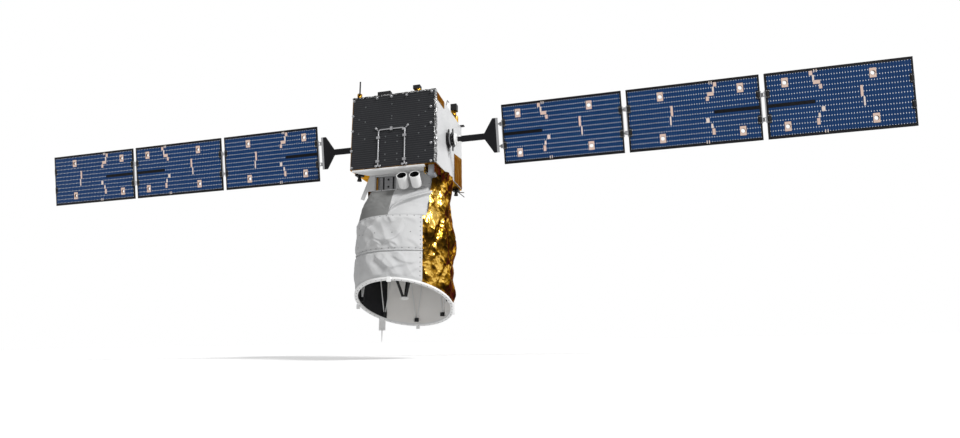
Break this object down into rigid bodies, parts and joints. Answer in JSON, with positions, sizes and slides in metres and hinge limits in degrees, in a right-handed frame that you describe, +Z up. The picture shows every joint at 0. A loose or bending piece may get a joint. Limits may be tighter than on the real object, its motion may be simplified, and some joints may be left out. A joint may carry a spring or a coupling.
{
  "type": "earth observation satellite",
  "caption": "Box-bodied earth observation satellite with a downward telescope in a slanted baffle and folding solar wings on turning drives.",
  "frame": {"origin": "centre of the launch ring's open face on top of the bus", "axes": "+X along the right wing, +Y to the rear face, +Z up away from the telescope"},
  "size_m": [16.28, 1.8935, 4.5855],
  "materials": {
    "black_panel": "matt black paint",
    "grey_radiator": "silvered tape",
    "gold_foil": "crumpled gold film",
    "white_cloth": "white woven cloth",
    "bare_metal": "bare machined",
    "black_metal": "matt black",
    "white_paint": "matt white",
    "black_lining": "black cloth",
    "pale_lining": "creased pale film",
    "mirror": "polished",
    "carbon": "black carbon sheet",
    "cells": "dark blue cell glass"
  },
  "bodies": {
    "bus": {"baffle_rim": "white_paint", "baffle_shell": "white_paint", "bay_panels": "black_panel", "bus_core": "gold_foil", "cooling_pipe": "bare_metal", "corner_box": "bare_metal", "dark_lining": "black_lining", "deck_boxes": "black_metal", "front_ledge": "white_paint", "front_radiator": "black_panel", "gold_blanket": "gold_foil", "launch_ring": "bare_metal", "left_drive_housing": "black_metal", "left_radiator": "grey_radiator", "mirror_cell": "black_metal", "neck_hood": "white_cloth", "pale_lining": "pale_lining", "pipe_clamps": "bare_metal", "primary_mirror": "mirror", "rear_panel": "gold_foil", "right_drive_housing": "black_metal", "right_radiator": "grey_radiator", "rim_brackets": "black_metal", "rim_probe": "white_paint", "rim_tabs": "white_paint", "rod_antenna": "black_metal", "secondary_mirror": "white_paint", "secondary_struts": "black_metal", "shoulder": "white_cloth", "star_trackers": "white_paint", "sun_sensor": "gold_foil", "thrusters": "black_metal", "wall_rods": "white_paint", "white_blanket_lower": "white_cloth", "white_blanket_upper": "white_cloth"},
    "left_panel_1": {"left_cells_1": "cells", "left_panel_1": "carbon", "left_panel_1_hinges": "bare_metal"},
    "left_panel_2": {"left_cells_2": "cells", "left_panel_2": "carbon", "left_panel_2_hinges": "bare_metal"},
    "left_panel_3": {"left_cells_3": "cells", "left_panel_3": "carbon", "left_panel_3_hinges": "bare_metal"},
    "left_hub": {"left_drive_hub": "white_paint"},
    "left_yoke": {"left_yoke": "carbon", "left_yoke_hinges": "bare_metal"},
    "right_panel_1": {"right_cells_1": "cells", "right_panel_1": "carbon", "right_panel_1_hinges": "bare_metal"},
    "right_panel_2": {"right_cells_2": "cells", "right_panel_2": "carbon", "right_panel_2_hinges": "bare_metal"},
    "right_panel_3": {"right_cells_3": "cells", "right_panel_3": "carbon", "right_panel_3_hinges": "bare_metal"},
    "right_hub": {"right_drive_hub": "white_paint"},
    "right_yoke": {"right_yoke": "carbon", "right_yoke_hinges": "bare_metal"}
  },
  "joints": [
    {"name": "left_drive", "type": "hinge", "parent": "bus", "child": "left_hub", "pos_m": [-0.93, -0.163, -0.777], "axis": [1, 0, 0], "continuous": true},
    {"name": "left_root_fold", "type": "hinge", "parent": "left_hub", "child": "left_yoke", "pos_m": [-1, -0.163, -0.777], "axis": [0, -0.2096, 0.9778], "range_deg": [0, 90]},
    {"name": "left_fold_1", "type": "hinge", "parent": "left_yoke", "child": "left_panel_1", "pos_m": [-1.765, -0.12389, -0.76862], "axis": [0, 0.2096, -0.9778], "range_deg": [0, 180]},
    {"name": "left_fold_2", "type": "hinge", "parent": "left_panel_1", "child": "left_panel_2", "pos_m": [-3.903, -0.19233, -0.78329], "axis": [0, -0.2096, 0.9778], "range_deg": [0, 180]},
    {"name": "left_fold_3", "type": "hinge", "parent": "left_panel_2", "child": "left_panel_3", "pos_m": [-6.041, -0.13367, -0.77071], "axis": [0, 0.2096, -0.9778], "range_deg": [0, 180]},
    {"name": "right_drive", "type": "hinge", "parent": "bus", "child": "right_hub", "pos_m": [0.93, -0.163, -0.777], "axis": [1, 0, 0], "continuous": true},
    {"name": "right_root_fold", "type": "hinge", "parent": "right_hub", "child": "right_yoke", "pos_m": [1, -0.163, -0.777], "axis": [0, 0.2096, -0.9778], "range_deg": [0, 90]},
    {"name": "right_fold_1", "type": "hinge", "parent": "right_yoke", "child": "right_panel_1", "pos_m": [1.765, -0.12389, -0.76862], "axis": [0, -0.2096, 0.9778], "range_deg": [0, 180]},
    {"name": "right_fold_2", "type": "hinge", "parent": "right_panel_1", "child": "right_panel_2", "pos_m": [3.903, -0.19233, -0.78329], "axis": [0, 0.2096, -0.9778], "range_deg": [0, 180]},
    {"name": "right_fold_3", "type": "hinge", "parent": "right_panel_2", "child": "right_panel_3", "pos_m": [6.041, -0.13367, -0.77071], "axis": [0, -0.2096, 0.9778], "range_deg": [0, 180]}
  ],
  "couplings": [
    {"joint": "left_fold_1", "follows": "left_root_fold", "ratio": 2},
    {"joint": "left_fold_2", "follows": "left_root_fold", "ratio": 2},
    {"joint": "left_fold_3", "follows": "left_root_fold", "ratio": 2},
    {"joint": "right_fold_1", "follows": "right_root_fold", "ratio": 2},
    {"joint": "right_fold_2", "follows": "right_root_fold", "ratio": 2},
    {"joint": "right_fold_3", "follows": "right_root_fold", "ratio": 2}
  ]
}
